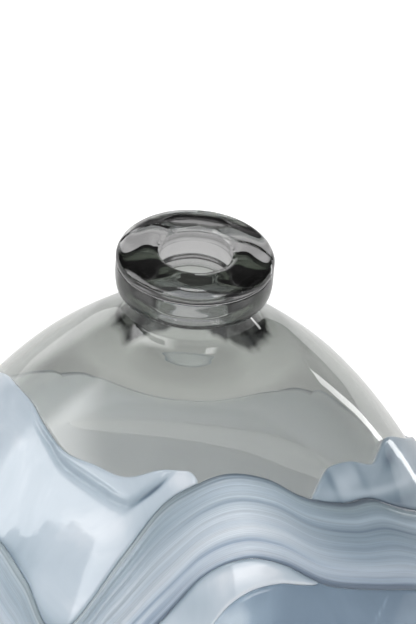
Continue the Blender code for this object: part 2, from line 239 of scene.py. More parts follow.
def neck_painted_shade(tree):
    """Painted shade: dark streaks down both sides of the neck, where the thick glass gathered under the
    lip.
    """
    place = add_node(tree, "TexCoord", {}).outputs["Object"]
    height = add_node(tree, "SeparateXYZ", {"Vector": place}).outputs["Z"]
    level = add_node(tree, "VectorMath", {0: place, 1: (1, 1, 0)}, operation="MULTIPLY").outputs[0]
    outward = add_node(tree, "VectorMath", {0: level}, operation="LENGTH").outputs["Value"]
    around = add_node(tree, "VectorMath", {0: level}, operation="NORMALIZE").outputs[0]
    back = add_node(tree, "SeparateXYZ", {"Vector": around}).outputs["Y"]
    streaks = add_node(tree, "TexNoise", {
        "Vector": around, "Scale": 3.0, "Detail": 2, "Roughness": 0.5,
    }).outputs["Fac"]
    ragged = reckon(tree, "MULTIPLY", reckon(tree, "SUBTRACT", streaks, 0.5), NECK_SHADE_RAGGEDNESS)
    facing = reckon(tree, "MULTIPLY", reckon(tree, "MULTIPLY", back, back), NECK_SHADE_SLOPE)
    foot = reckon(tree, "ADD", facing, NECK_ROOT_Z - NECK_SHADE_SLOPE_DROP)
    foot = reckon(tree, "MAXIMUM", foot, NECK_ROOT_Z - NECK_SHADE_SIDE_DROP)
    behind = reckon(tree, "MULTIPLY", reckon(tree, "MAXIMUM", back, 0), NECK_SHADE_SLOPE)
    foot = reckon(tree, "ADD", foot, behind)
    above = reckon(tree, "ADD", reckon(tree, "SUBTRACT", height, foot), ragged)
    tall = spread(tree, above, 0.0, NECK_SHADE_SOFTNESS, 0.0, 1.0, "SMOOTHSTEP")
    skin = reckon(tree, "GREATER_THAN", outward, NECK_RADIUS - NECK_SHADE_SKIN)
    strength = spread(tree, streaks, 0.3, 0.6, NECK_SHADE_LEAST, 1.0)
    depth = reckon(tree, "MULTIPLY", tall, reckon(tree, "MULTIPLY", skin, strength))
    return blend(tree, depth, (1, 1, 1, 1), NECK_SHADE_COLOUR)


WALL_ROWS = 120
FLOOR_RINGS = 14
BUBBLE_STEPS = 240
outer_wall, inner_wall = [], []
for row in range(WALL_ROWS + 1):
    radius, height, out, up = skin_at(row / WALL_ROWS)
    if row == 0:
        out, up = 1, 0
    if row == WALL_ROWS:
        out, up = 0, -1
    wall = BODY_WALL * smooth_read(WALL_SHARES, row / WALL_ROWS)
    outer_wall.append((radius, height))
    inner_wall.append((radius - wall * out, height - wall * up))
floor_radius, floor_height = inner_wall[-1]
punt_radius = HEEL_RADIUS - FOOT_RING_WIDTH
inner_floor, punt = [], []
for ring in range(FLOOR_RINGS + 1):
    share = ring / FLOOR_RINGS
    rise = (floor_height - PUNT_RISE - BASE_WALL) * (1 - math.cos(share * math.pi / 2))
    inner_floor.append((floor_radius * share, PUNT_RISE + BASE_WALL + rise))
    punt.append((punt_radius * (1 - share), PUNT_RISE * math.sin(share * math.pi / 2)))
bubble = spin_glass("blown_bubble", inner_floor[:-1] + inner_wall[::-1] + outer_wall + punt, BUBBLE_STEPS)
for vertex in bubble.data.vertices:
    vertex.co = leaned(vertex.co)
SMOKE_DENSITY = 36
SMOKE_TINT = (0.078, 0.168, 0.045)
SMOKE_RIPPLE = 0.00012
smoke_glass = clear_glass("smoke_glass", SMOKE_DENSITY, SMOKE_TINT, SMOKE_RIPPLE, neck_painted_shade)
bubble.data.materials.append(smoke_glass)
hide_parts("smoke_bubble")
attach(bubble, "root")


# Lip band: the lower half of the heavy lip, a collar of thick smoke glass wrapped round the neck's top.
# Its lower edge was drawn in with the jacks while hot, and its flat top takes the roll.
# Hot glass fuses without a gap, so it sinks a hair into the neck below and the roll above.
LIP_RADIUS = 0.0300
LIP_BORE_RADIUS = 0.0142
BAND_HEIGHT = 0.0113
FUSE_GAP = 0.0003
FUSE_DEPTH = 0.00005
LIP_SEAT_Z = NECK_TOP_Z + FUSE_GAP
ROLL_SEAT_Z = LIP_SEAT_Z + BAND_HEIGHT + FUSE_GAP
LIP_WALL = LIP_RADIUS - LIP_BORE_RADIUS
LIP_STEPS = 200
SEAM_ROUND = 0.0005
DRAWN_ROUND = 0.0012
LIP_WAVER = 0.00014
LIP_WAVER_LENGTH = 0.007
BORE_ROWS = 16
CORNER_POINTS = 6
BAND_OUTSIDE_SHARES = {0.0: 0.90, 0.06: 0.945, 0.2: 0.975, 0.5: 1.0, 0.8: 1.0, 1.0: 0.995}


def rounded_corner(before, corner, after, size):
    """Points of a section that go round a corner in a curve which starts size away from it."""
    here = Vector(corner)
    start = here + (Vector(before) - here).normalized() * size
    end = here + (Vector(after) - here).normalized() * size
    points = []
    for step in range(CORNER_POINTS + 1):
        share = step / CORNER_POINTS
        points.append(tuple(start * (1 - share)**2 + here * 2 * share * (1 - share) + end * share**2))
    return points


def hand_worked(point):
    """Moves a point of the lip in or out a little, as tooled glass is never quite true."""
    outward = Vector((point.x, point.y, 0)).normalized()
    return point + outward * noise.noise(point / LIP_WAVER_LENGTH) * LIP_WAVER


low_z, high_z = NECK_TOP_Z - FUSE_DEPTH, ROLL_SEAT_Z + FUSE_DEPTH
bore = [(LIP_BORE_RADIUS, low_z + (high_z - low_z) * row / BORE_ROWS) for row in range(1, BORE_ROWS + 1)]
outside = []
for row in range(BORE_ROWS + 1):
    share = 1 - row / BORE_ROWS
    radius = LIP_BORE_RADIUS + LIP_WALL * smooth_read(BAND_OUTSIDE_SHARES, share)
    outside.append((radius, low_z + (high_z - low_z) * share))
inner_foot = (LIP_BORE_RADIUS, low_z)
section = rounded_corner(outside[-1], inner_foot, bore[0], SEAM_ROUND) + bore
section += rounded_corner(bore[-1], outside[0], outside[2], SEAM_ROUND) + outside[2:-3]
section += rounded_corner(outside[-3], outside[-1], inner_foot, DRAWN_ROUND)
band = spin_glass("drawn_band", section + section[:1], LIP_STEPS)
for vertex in band.data.vertices:
    vertex.co = leaned(hand_worked(vertex.co))
LIP_DENSITY = 19
LIP_TINT = (0.100, 0.083, 0.090)
LIP_RIPPLE = 0.00006
lip_glass = clear_glass("lip_glass", LIP_DENSITY, LIP_TINT, LIP_RIPPLE)
band.data.materials.append(lip_glass)
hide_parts("lip_band")
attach(band, "root")


# Lip roll: the upper half of the lip, a fat ring of smoke glass rolled over and fire polished.
# It was fused to the band's flat top, and the seam still shows as a fine bright groove.
# The bore was opened with a rod afterwards, and cuts its round top in a slightly ragged crease. The
# line where the glass was laid over runs behind the bore and out to both sides as a fine groove.
ROLL_HEIGHT = 0.0064
ROLL_DEPTH = 0.0044
ROLL_BREADTH = 0.0172
ROLL_SQUARENESS = 2.3
half_width = ROLL_BREADTH / 2
half_height = (ROLL_HEIGHT + ROLL_DEPTH) / 2
middle = LIP_RADIUS - half_width
middle_height = ROLL_HEIGHT - half_height
seat_cut = math.asin((middle_height / half_height) ** (ROLL_SQUARENESS / 2))
crease = math.acos(((middle - LIP_BORE_RADIUS) / half_width) ** (ROLL_SQUARENESS / 2))
DOME_STEPS = 96
dome = []
for step in range(DOME_STEPS + 1):
    angle = math.pi - crease - (math.pi - crease + seat_cut) * step / DOME_STEPS
    across = math.copysign(abs(math.cos(angle)) ** (2 / ROLL_SQUARENESS), math.cos(angle))
    up = math.copysign(abs(math.sin(angle)) ** (2 / ROLL_SQUARENESS), math.sin(angle))
    dome.append((middle + half_width * across, ROLL_SEAT_Z + middle_height + half_height * up))
inner_foot = (LIP_BORE_RADIUS, ROLL_SEAT_Z)
crease_z = dome[0][1]
ROLL_ROWS = 8
bore_height = crease_z - ROLL_SEAT_Z
bore = [(LIP_BORE_RADIUS, ROLL_SEAT_Z + bore_height * row / ROLL_ROWS) for row in range(ROLL_ROWS)]
section = bore + dome[:-2] + rounded_corner(dome[-3], dome[-1], inner_foot, SEAM_ROUND)
roll = spin_glass("rolled_rim", section + section[:1], 2 * LIP_STEPS)
CREASE_RAGGEDNESS = 0.0007
CREASE_REACH = 0.0012
CREASE_GRAIN = 0.004
FOLD_DEPTH = 0.0010
FOLD_WIDTH = 0.0004
FOLD_FADE = 12
FOLD_RAGGEDNESS = 0.0006
FOLD_RADII = {
    84: 0.0300, 90: 0.0275, 97: 0.0240, 104: 0.0205, 112: 0.0178, 122: 0.0162, 136: 0.0152, 160: 0.0149,
    200: 0.0149, 214: 0.0154, 222: 0.0172, 229: 0.0205, 238: 0.0228, 248: 0.0250, 258: 0.0275, 268: 0.0300,
}
for vertex in roll.data.vertices:
    outward = math.hypot(vertex.co.x, vertex.co.y)
    turn = math.degrees(math.atan2(vertex.co.x, -vertex.co.y)) % FULL_TURN
    away = math.hypot(outward - LIP_BORE_RADIUS, vertex.co.z - crease_z) / CREASE_REACH
    ragged = noise.noise(Vector((vertex.co.x, vertex.co.y, 0)) / CREASE_GRAIN)
    vertex.co.z += CREASE_RAGGEDNESS * ragged * math.exp(-away * away)
    if min(FOLD_RADII) < turn < max(FOLD_RADII) and vertex.co.z > ROLL_SEAT_Z + ROLL_HEIGHT / 3:
        fold = smooth_read(FOLD_RADII, turn)
        slope = (smooth_read(FOLD_RADII, turn + 1) - smooth_read(FOLD_RADII, turn - 1)) / 2
        slant = math.hypot(1, slope / (fold * math.radians(1)))
        off = (outward - fold + FOLD_RAGGEDNESS * ragged) / slant / FOLD_WIDTH
        fade = min((turn - min(FOLD_RADII)) / FOLD_FADE, (max(FOLD_RADII) - turn) / FOLD_FADE, 1)
        vertex.co.z -= FOLD_DEPTH * fade * math.exp(-off * off)
    vertex.co = leaned(hand_worked(vertex.co))
roll.data.materials.append(lip_glass)
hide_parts("lip_roll")
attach(roll, "root")


# Combed ribbon: white and blue-grey glass laid on as trails and combed into one streaky band.
# It runs right round the shoulder in a wave, highest at the front, with fine ridges along its flow.
RIBBON_THICKNESS = 0.0026
LAY_GAP = 0.0004
EDGE_WIDTH = 0.0014
THIN_EDGE_SHARE = 0.60
FRONT_COLUMN_SHARE = 0.55
PALE_RIM = 0.8
PALE_RIM_TURN = 95
RIBBON_TOP_SHARES = {
    -180: 0.448, -165: 0.422, -150: 0.420, -132: 0.452, -110: 0.425, -90: 0.382, -68: 0.358, -46: 0.354,
    -34: 0.382, -23: 0.425, -13: 0.318, -5: 0.250, 4: 0.220, 16: 0.205, 29: 0.219,
    39: 0.253, 51: 0.282, 61: 0.298, 70: 0.336, 82: 0.385, 100: 0.438, 118: 0.470,
    134: 0.480, 150: 0.422, 165: 0.422, 180: 0.448,
}
RIBBON_BOTTOM_SHARES = {
    -180: 0.548, -156: 0.550, -132: 0.558, -110: 0.540, -90: 0.505, -68: 0.470, -46: 0.480,
    -34: 0.520, -23: 0.545, -12: 0.470, -2: 0.389, 7: 0.331, 18: 0.311, 28: 0.326,
    38: 0.366, 50: 0.397, 62: 0.432, 74: 0.480, 88: 0.530, 104: 0.558, 122: 0.575,
    142: 0.572, 160: 0.555, 180: 0.548,
}
RIDGE_HEIGHT = 0.00012
RIDGE_WAVER = 0.01
RIDGES = [(7, 0.5, 1.0), (13, 2.1, 0.8), (23, 4.0, 0.55), (37, 1.2, 0.35)]


@lru_cache(maxsize=None)
def ribbon_edges(turn):
    """Upper and lower edge of the ribbon, as shares of the way down the skin."""
    return smooth_read(RIBBON_TOP_SHARES, turn), smooth_read(RIBBON_BOTTOM_SHARES, turn)


def on_skin(turn, share, rise):
    """Point that lies rise above the bubble's skin, turn degrees round from the front."""
    radius, height, out, up = skin_at(share)
    reach = radius + rise * out
    angle = math.radians(turn)
    return Vector((reach * math.sin(angle), -reach * math.cos(angle), height + rise * up))


def lay_sheet(name, span, edges, thickness, tone, columns, rows):
    """Lays a sheet of hot glass on the skin between two edges, thin and rounded at its rim.

    thickness gives the sheet's thickness in metres at a turn, a share down the skin and a depth in
    from the edge. tone gives, at a turn, a share down the skin and a share across the sheet, the
    number that its colours follow. A sheet that goes all round has finer columns at the front. The
    attribute inner marks its inner side, and the pale upper rim at the back.
    """
    bpy.ops.mesh.primitive_grid_add(x_subdivisions=columns, y_subdivisions=rows, size=2, location=(0, 0, 0))
    sheet = bpy.context.object
    sheet.name = sheet.data.name = name
    all_round = span[1] - span[0] == FULL_TURN
    group = sheet.vertex_groups.new(name="thickness")
    paint = sheet.data.attributes.new("tone", "FLOAT", "POINT")
    inner = sheet.data.attributes.new("inner", "FLOAT", "POINT")
    places, depths = [], []
    for vertex in sheet.data.vertices:
        along = vertex.co.x
        if all_round:
            along *= FRONT_COLUMN_SHARE + (1 - FRONT_COLUMN_SHARE) * along * along
        turn = span[0] + (span[1] - span[0]) * (along + 1) / 2
        across = 0.5 - 0.5 * math.cos(math.pi * (1 - vertex.co.y) / 2)
        top, bottom = edges(turn)
        share = top + (bottom - top) * across
        step = 0.5
        lower = across > 0.5
        slope = (edges(turn + step)[lower] - edges(turn - step)[lower]) * OUTLINE_LENGTH
        slant = math.hypot(1, slope / (2 * math.radians(step) * skin_at(share)[0]))
        inset = min(across, 1 - across) * (bottom - top) * OUTLINE_LENGTH / slant
        if not all_round:
            ends = min(turn - span[0], span[1] - turn)
            inset = min(inset, math.radians(ends) * skin_at(share)[0] * 0.5)
        bulge = math.sqrt(1 - (1 - min(inset / EDGE_WIDTH, 1)) ** 2)
        bulge = THIN_EDGE_SHARE + (1 - THIN_EDGE_SHARE) * bulge
        depths.append(thickness(turn, share, inset) * bulge)
        places.append(((along + 1) / 2, across))
        paint.data[vertex.index].value = tone(turn, share, across)
        at_back_top = across < 0.001 and abs(turn) > PALE_RIM_TURN
        inner.data[vertex.index].value = PALE_RIM * at_back_top
        vertex.co = on_skin(turn, share, LAY_GAP)
    deepest = max(depths)
    for index, depth in enumerate(depths):
        group.add([index], depth / deepest, "REPLACE")
    lay = sheet.data.uv_layers.active.data
    for loop in sheet.data.loops:
        lay[loop.index].uv = places[loop.vertex_index]
    if all_round:
        bpy.ops.object.mode_set(mode="EDIT")
        bpy.ops.mesh.select_all(action="SELECT")
        bpy.ops.mesh.remove_doubles(threshold=WELD)
        bpy.ops.object.mode_set(mode="OBJECT")
    skin_count = len(sheet.data.vertices)
    bpy.ops.object.modifier_add(type="SOLIDIFY")
    wall = sheet.modifiers[-1]
    wall.thickness = deepest
    wall.offset = 1
    wall.vertex_group = group.name
    bpy.ops.object.modifier_apply(modifier=wall.name)
    inner = sheet.data.attributes["inner"]
    for index in range(skin_count, len(sheet.data.vertices)):
        inner.data[index].value = 1.0
    bpy.ops.object.shade_smooth()
    return sheet


def shade(red, green, blue):
    """A colour given by its levels on a screen, 0 to 255, as the shader wants it."""
    levels = []
    for level in (red, green, blue):
        level /= 255
        levels.append(level / 12.92 if level <= 0.04045 else ((level + 0.055) / 1.055) ** 2.4)
    return (*levels, 1)


def colour_ramp(tree, place, stops):
    """Colours that change from stop to stop along place. Each stop is a place and its screen levels."""
    ramp = add_node(tree, "ValToRGB", {"Fac": place})
    elements = ramp.color_ramp.elements
    while len(elements) < len(stops):
        elements.new(1.0)
    for element, (position, levels) in zip(elements, stops.items()):
        element.position = position
        element.color = shade(*levels)
    return ramp.outputs["Color"]


INNER_COLOUR = shade(208, 204, 208)
# Painted shade on the sheets' inner side: it darkens to the given share between the given heights, towards
# the shoulder.
INNER_SHADE_SHARE = 0.72
INNER_SHADE_HEIGHTS = (0.120, 0.180)


def milky_glass(name, colours, glow, through, ripple):
    """Glossy cloudy glass, plain and pale on its inner side, with painted shade greying it there towards
    the shoulder.

    colours(tree) gives its outer colour and its relief, and through is how much light it lets by.
    """
    material = bpy.data.materials.new(name)
    material.use_nodes = True
    tree = material.node_tree
    tree.nodes.clear()
    colour, relief = colours(tree)
    inner = add_node(tree, "Attribute", {}, attribute_name="inner").outputs["Fac"]
    place = add_node(tree, "TexCoord", {}).outputs["Object"]
    height = add_node(tree, "SeparateXYZ", {"Vector": place}).outputs["Z"]
    inner_shade = spread(tree, height, *INNER_SHADE_HEIGHTS, 1.0, INNER_SHADE_SHARE)
    lining = add_node(tree, "VectorMath", {0: INNER_COLOUR[:3], "Scale": inner_shade}, operation="SCALE")
    bump = add_node(tree, "Bump", {"Height": relief, "Strength": 1, "Distance": ripple})
    face = add_node(tree, "BsdfPrincipled", {
        "Base Color": blend(tree, inner, colour, lining.outputs[0]), "Roughness": 0.05, "IOR": 1.5,
        "Normal": bump.outputs["Normal"],
    })
    back = add_node(tree, "BsdfTranslucent", {"Color": glow, "Normal": bump.outputs["Normal"]})
    cloudy = add_node(tree, "MixShader", {0: through, 1: face.outputs[0], 2: back.outputs[0]})
    add_node(tree, "OutputMaterial", {"Surface": cloudy.outputs[0]})
    return material


NOISE_SPAN = (0.3, 0.7)


def flow_noise(tree, place, along, across, **settings):
    """Noise drawn out along the ribbon: along and across are how fast it changes each way."""
    here = add_node(tree, "SeparateXYZ", {"Vector": add_node(tree, "TexCoord", {}).outputs["Object"]})
    drawn = add_node(tree, "CombineXYZ", {})
    for axis, source, pace in (("X", here.outputs["X"], along), ("Y", here.outputs["Y"], along),
                               ("Z", place, across)):
        tree.links.new(reckon(tree, "MULTIPLY", source, pace), drawn.inputs[axis])
    return add_node(tree, "TexNoise", {"Vector": drawn.outputs[0], "Scale": 1, **settings}).outputs["Fac"]


# Streaks across the ribbon, from its upper edge to its lower. The first stops are painted shade and shadow
# along the upper edge, darkest under the right lobe, with a thin painted highlight on the rounded edge; the
# last stops are painted shade along the lower edge.
STREAKS_AND_SHADE_LEFT = {
    0.0: (142, 153, 156), 0.03: (146, 158, 161), 0.048: (117, 131, 136), 0.062: (178, 188, 193),
    0.085: (153, 167, 176), 0.13: (139, 155, 166), 0.165: (157, 171, 180), 0.2: (137, 153, 165),
    0.27: (155, 168, 178), 0.325: (164, 175, 185), 0.345: (148, 162, 173), 0.4: (176, 186, 195),
    0.48: (182, 191, 199), 0.54: (167, 179, 190), 0.6: (187, 195, 203), 0.68: (192, 199, 207),
    0.73: (182, 193, 205), 0.762: (132, 150, 170), 0.785: (175, 187, 200), 0.835: (184, 194, 206),
    0.87: (132, 149, 170), 0.905: (115, 134, 158), 0.93: (173, 184, 198), 0.95: (140, 154, 174),
    0.972: (82, 98, 119), 1.0: (73, 87, 106),
}
STREAKS_AND_SHADE_CREST = {
    0.0: (72, 84, 96), 0.022: (78, 92, 104), 0.036: (152, 166, 178), 0.052: (98, 116, 132),
    0.072: (176, 190, 201), 0.12: (186, 199, 210), 0.2: (180, 194, 206), 0.27: (192, 204, 213),
    0.32: (148, 166, 184), 0.345: (198, 210, 220), 0.42: (210, 220, 229), 0.5: (214, 223, 232),
    0.56: (200, 211, 222), 0.63: (228, 234, 240), 0.7: (220, 228, 236), 0.755: (186, 200, 216),
    0.78: (148, 168, 192), 0.8: (206, 216, 227), 0.86: (210, 220, 230), 0.92: (214, 222, 232),
    0.955: (180, 194, 210), 0.975: (98, 116, 138), 1.0: (80, 95, 116),
}
STREAKS_AND_SHADE_RIGHT = {
    0.0: (62, 69, 78), 0.034: (74, 83, 93), 0.062: (124, 140, 148), 0.09: (146, 162, 169),
    0.13: (126, 143, 154), 0.18: (136, 153, 166), 0.23: (164, 179, 190), 0.28: (142, 159, 173),
    0.32: (130, 147, 161), 0.342: (92, 109, 128), 0.362: (138, 155, 168), 0.42: (126, 144, 158),
    0.48: (140, 157, 171), 0.53: (130, 147, 163), 0.59: (154, 170, 184), 0.65: (150, 166, 181),
    0.72: (170, 184, 197), 0.77: (184, 196, 209), 0.85: (182, 194, 208), 0.885: (152, 168, 186),
    0.91: (172, 186, 201), 0.935: (136, 151, 170), 0.965: (88, 102, 122), 1.0: (80, 94, 113),
}
# Painted shade: at each turn, how far the ribbon takes the crest's and then the right flank's darker
# streaks, so it darkens on its right and towards the back, away from the light on the left.
FLANK_SHADE_SHARES = {
    -180: 0.75, -120: 0.45, -60: 0.1, -30: 0.0, -8: 0.02, 2: 0.22, 10: 0.42, 20: 0.52, 28: 0.66, 38: 0.86,
    50: 1.0, 110: 1.0, 180: 0.75,
}
STREAK_WAVER = 0.016
BROAD_SHADES = (0.88, 1.10)
FINE_SHADES = (0.80, 1.16)


def combed_colours(tree):
    """Streaks that follow the ribbon: bands of blue-grey and white across it, wavering along it, with
    painted shade along its edges and on its right flank.
    """
    lay = add_node(tree, "TexCoord", {})
    across = add_node(tree, "SeparateXYZ", {"Vector": lay.outputs["UV"]}).outputs["Y"]
    waver = add_node(tree, "TexNoise", {"Vector": lay.outputs["Object"], "Scale": 14, "Detail": 1})
    shift = spread(tree, waver.outputs["Fac"], *NOISE_SPAN, -STREAK_WAVER, STREAK_WAVER)
    place = reckon(tree, "ADD", across, shift)
    flank = add_node(tree, "Attribute", {}, attribute_name="tone").outputs["Fac"]
    left, crest, right = (
        colour_ramp(tree, place, stops) for stops in (STREAKS_AND_SHADE_LEFT, STREAKS_AND_SHADE_CREST, STREAKS_AND_SHADE_RIGHT)
    )
    bands = blend(tree, spread(tree, flank, 0.0, 0.5, 0.0, 1.0), left, crest)
    bands = blend(tree, spread(tree, flank, 0.5, 1.0, 0.0, 1.0), bands, right)
    broad = flow_noise(tree, place, along=14, across=26, Detail=2)
    fine = flow_noise(tree, place, along=12, across=95, Detail=3, Roughness=0.6)
    uneven = reckon(tree, "MULTIPLY", spread(tree, broad, *NOISE_SPAN, *BROAD_SHADES),
                    spread(tree, fine, *NOISE_SPAN, *FINE_SHADES))
    tint = add_node(tree, "VectorMath", {0: bands, "Scale": uneven}, operation="SCALE")
    return tint.outputs[0], fine


def ribbon_depth(turn, share, inset):
    """The ribbon's thickness, with combed ridges of mixed widths that die out at its edges."""
    top, bottom = ribbon_edges(turn)
    place = (share - top) / (bottom - top) + RIDGE_WAVER * math.sin(math.radians(turn * 2))
    ridge = sum(height * math.cos(math.tau * count * place + start) for count, start, height in RIDGES)
    return RIBBON_THICKNESS + RIDGE_HEIGHT * ridge * min(inset / (2 * EDGE_WIDTH), 1)


def ribbon_tone(turn, share, across):
    """Which streaks the ribbon shows: 0 its left flank's, a half its crest's and 1 its right flank's, which
    are darker as painted shade.
    """
    return smooth_read(FLANK_SHADE_SHARES, turn)


ALL_ROUND = (-FULL_TURN // 2, FULL_TURN // 2)
RIBBON_COLUMNS = 560
SHEET_ROWS = 72
ribbon = lay_sheet(
    "combed_band", ALL_ROUND, ribbon_edges, ribbon_depth, ribbon_tone, RIBBON_COLUMNS, SHEET_ROWS
)
RIBBON_GLOW = (0.72, 0.77, 0.84, 1)
RIBBON_THROUGH = 0.3
RIBBON_RIPPLE = 0.0001
streaked_glass = milky_glass("streaked_glass", combed_colours, RIBBON_GLOW, RIBBON_THROUGH, RIBBON_RIPPLE)
ribbon.data.materials.append(streaked_glass)
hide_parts("combed_ribbon")
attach(ribbon, "root")


# Opal lobes: milky white glass that flowed down over the smoke before the ribbon was laid.
# Each fills a trough of the ribbon's wave, and the left one's free edge folded over into a soft hem.
# Where the milk ran thin the blue-grey below shows through in clouds; the darker folds, the hem's crease
# and the lower edges by the ribbon are painted shade.
OPAL_THICKNESS = 0.0022
SEAM_GAP = 0.0001
TAIL_SHARE = 0.003
LOBES = {
    "opal_lobe_left": ((-150, 6), {
        -150: 0.410, -137: 0.384, -128: 0.365, -116: 0.322, -108: 0.290, -100: 0.256, -90: 0.224,
        -78: 0.207, -66: 0.199, -53: 0.206, -40: 0.217, -28: 0.216, -17: 0.219, -6: 0.202, 3: 0.200,
        8: 0.198,
    }),
    "opal_lobe_right": ((42, 150), {
        42: 0.245, 47: 0.238, 54: 0.235, 62: 0.246, 70: 0.270, 77: 0.270, 86: 0.276,
        98: 0.324, 110: 0.375, 122: 0.430, 134: 0.445, 143: 0.410, 152: 0.406,
    }),
    "opal_lobe_back": ((160, 200), {
        160: 0.412, 166: 0.405, 176: 0.420, 185: 0.420, 194: 0.405, 200: 0.412,
    }),
}
HEM_BOTTOM_SHARES = {
    -60: 0.206, -51: 0.215, -46: 0.220, -41: 0.229, -36: 0.235, -29: 0.240, -22: 0.247,
    -18: 0.252, -14: 0.253, -12: 0.246, -10: 0.237, -5.6: 0.221, -2.6: 0.203,
}
HEM_RISE = 0.0012
HEM_ROUND = 0.004
HEM_START, HEM_FADE_IN = -66, 20
HEM_END, HEM_FADE_OUT = -1.6, 6
CREASE_DEPTH = 0.0008
CREASE_WIDTH = 0.0016
TIP_TURN = 4
LONG_TIP_TURN = 11

# Most darker marks below are painted shade: along the ribbon's edge, in the hem's crease and in the right
# lobe's folds.
# Marks in the milk: turn and share of the middle, reach round and down, slant, and how much milk more
LOBE_MARKS = {
    "opal_lobe_left": [
        (-26, 0.300, 16, 0.045, 0, 0.02), (-31, 0.345, 8, 0.036, 0, -0.14),
        (-40, 0.385, 7, 0.040, 0, -0.35), (-28, 0.430, 9, 0.030, 0, -0.25),
        (-8, 0.268, 5, 0.020, -0.006, -0.16), (-8, 0.231, 4.5, 0.0035, -0.0044, -0.7),
        (0, 0.212, 5, 0.012, 0, 0.12), (-62, 0.215, 6, 0.010, 0, -0.04),
        (-95, 0.330, 16, 0.060, 0, -0.20), (-125, 0.400, 14, 0.040, 0, -0.30),
    ],
    "opal_lobe_right": [
        (55, 0.262, 6, 0.014, 0, 0.34), (78, 0.287, 4, 0.010, 0, -0.35),
        (84, 0.320, 9, 0.018, 0, 0.22), (66, 0.300, 16, 0.006, 0.002, 0.30),
        (50, 0.252, 1.2, 0.030, 0, -0.25), (62, 0.262, 1.6, 0.030, -0.003, -0.18),
        (70, 0.330, 20, 0.012, 0.002, -0.20), (110, 0.420, 16, 0.030, 0, 0.25),
    ],
    "opal_lobe_back": [(180, 0.430, 12, 0.012, 0, 0.15)],
}
# Painted shade along the hem's fold, and along the lobes' lower edges by the ribbon.
HEM_SHADE, HEM_SHADE_RISE, HEM_SHADE_REACH = 0.36, 0.001, 0.0028
LOWER_EDGE_SHADE, LOWER_EDGE_SHADE_SHARE = 0.35, 0.05
LOBE_MILK = {"opal_lobe_left": 0.85, "opal_lobe_right": 0.42, "opal_lobe_back": 0.60}


def soft_marks(turn, share, marks):
    """Milk added or taken at a point by soft marks on the skin, some of them painted shade."""
    total = 0
    for mark_turn, mark_share, wide, tall, slant, milk_and_shade in marks:
        away = turn - mark_turn
        down = share - mark_share - slant * away
        total += milk_and_shade * math.exp(-(away / wide) ** 2 - (down / tall) ** 2)
    return total


def cloudy_colours(stops, scale, distortion, unevenness, drawn_out=1.0):
    """Gives colours(tree): colours that follow the milk and its painted shade, stirred by clouds drawn out
    downwards.
    """

    def colours(tree):
        place = add_node(tree, "TexCoord", {}).outputs["Object"]
        drawn = add_node(tree, "Mapping", {"Vector": place, "Scale": (1, 1, drawn_out)})
        clouds = add_node(tree, "TexNoise", {
            "Vector": drawn.outputs[0], "Scale": scale, "Detail": 4, "Distortion": distortion,
        }).outputs["Fac"]
        milk_and_shade = add_node(tree, "Attribute", {}, attribute_name="tone").outputs["Fac"]
        uneven = spread(tree, clouds, *NOISE_SPAN, -unevenness, unevenness)
        return colour_ramp(tree, reckon(tree, "ADD", milk_and_shade, uneven), stops), clouds

    return colours


# White where the milk is thick, and bluer and darker where it is thin
MILK_STOPS = {
    0.0: (84, 102, 120), 0.3: (132, 150, 164), 0.6: (176, 190, 201), 0.85: (196, 207, 217),
    1.0: (224, 230, 237),
}
OPAL_GLOW = (0.80, 0.84, 0.90, 1)
OPAL_THROUGH = 0.22
OPAL_RIPPLE = 0.0002
SHEET_FINENESS = 2.4
opal_colours = cloudy_colours(MILK_STOPS, scale=24, distortion=1.4, unevenness=0.13)
opal_glass = milky_glass("opal_glass", opal_colours, OPAL_GLOW, OPAL_THROUGH, OPAL_RIPPLE)
for node_name, (span, table) in LOBES.items():

    @lru_cache(maxsize=None)
    def lobe_edges(turn):
        """The lobe's own crest above, rounded off at its tips, and the ribbon's upper edge below."""
        bottom = ribbon_edges(turn)[0] - SEAM_GAP / OUTLINE_LENGTH
        crest = min(smooth_read(table, turn), bottom - TAIL_SHARE)
        near_tip = LONG_TIP_TURN if node_name == "opal_lobe_right" else TIP_TURN
        to_tip = min(max(min((turn - span[0]) / near_tip, (span[1] - turn) / TIP_TURN), 0), 1)
        return bottom - max((bottom - crest) * math.sqrt(1 - (1 - to_tip) ** 2), TAIL_SHARE), bottom

    def hem(turn, share):
        """How fully the hem shows at a point, and how far in metres the point lies below the hem's fold."""
        below = (share - smooth_read(HEM_BOTTOM_SHARES, turn)) * OUTLINE_LENGTH
        if node_name != "opal_lobe_left":
            return 0, below
        return max(min((turn - HEM_START) / HEM_FADE_IN, (HEM_END - turn) / HEM_FADE_OUT, 1), 0), below

    def lobe_depth(turn, share, inset):
        """The lobe's thickness, with the folded hem and its crease."""
        full, below = hem(turn, share)
        depth = OPAL_THICKNESS - CREASE_DEPTH * full * math.exp(-(below / CREASE_WIDTH) ** 2)
        if below < 0:
            depth += HEM_RISE * full * math.sqrt(min(-below / HEM_ROUND, 1))
        return depth

    def lobe_tone(turn, share, across):
        """The lobe's milk, with painted shade along the hem's fold and along its lower edge by the ribbon.
        """
        full, below = hem(turn, share)
        fold = HEM_SHADE * full * math.exp(-((below + HEM_SHADE_RISE) / HEM_SHADE_REACH) ** 2)
        edge_shade = LOWER_EDGE_SHADE * math.exp(-((1 - across) / LOWER_EDGE_SHADE_SHARE) ** 2)
        return LOBE_MILK[node_name] + soft_marks(turn, share, LOBE_MARKS[node_name]) - fold - edge_shade

    columns = round((span[1] - span[0]) * SHEET_FINENESS)
    flow_name = node_name.replace("lobe", "flow")
    lobe = lay_sheet(flow_name, span, lobe_edges, lobe_depth, lobe_tone, columns, SHEET_ROWS)
    lobe.data.materials.append(opal_glass)
    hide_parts(node_name)
    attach(lobe, "root")


